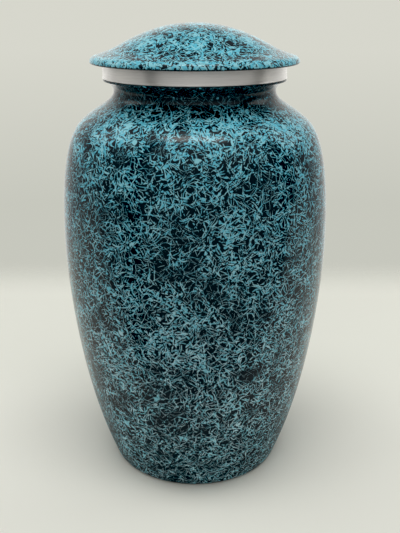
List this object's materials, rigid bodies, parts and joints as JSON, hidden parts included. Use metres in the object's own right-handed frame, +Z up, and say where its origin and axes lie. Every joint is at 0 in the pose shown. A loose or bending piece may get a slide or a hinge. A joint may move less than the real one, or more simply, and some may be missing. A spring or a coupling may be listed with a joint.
{
  "type": "cremation urn",
  "caption": "Tall shouldered metal cremation urn with a speckled lacquer finish, a bare turned neck ring and a low domed lift-off lid.",
  "frame": {"origin": "centre of the flat underside", "axes": "+Z up along the urn's axis of revolution"},
  "size_m": [0.1566, 0.1566, 0.267],
  "materials": {
    "speckled_lacquer": "clear gloss lacquer over a black base coat with dense thin teal strokes",
    "bare_aluminium": "satin, with fine turning lines around it"
  },
  "bodies": {
    "root": {"body": "speckled_lacquer", "neck_ring": "bare_aluminium", "lid": "speckled_lacquer"}
  },
  "joints": []
}
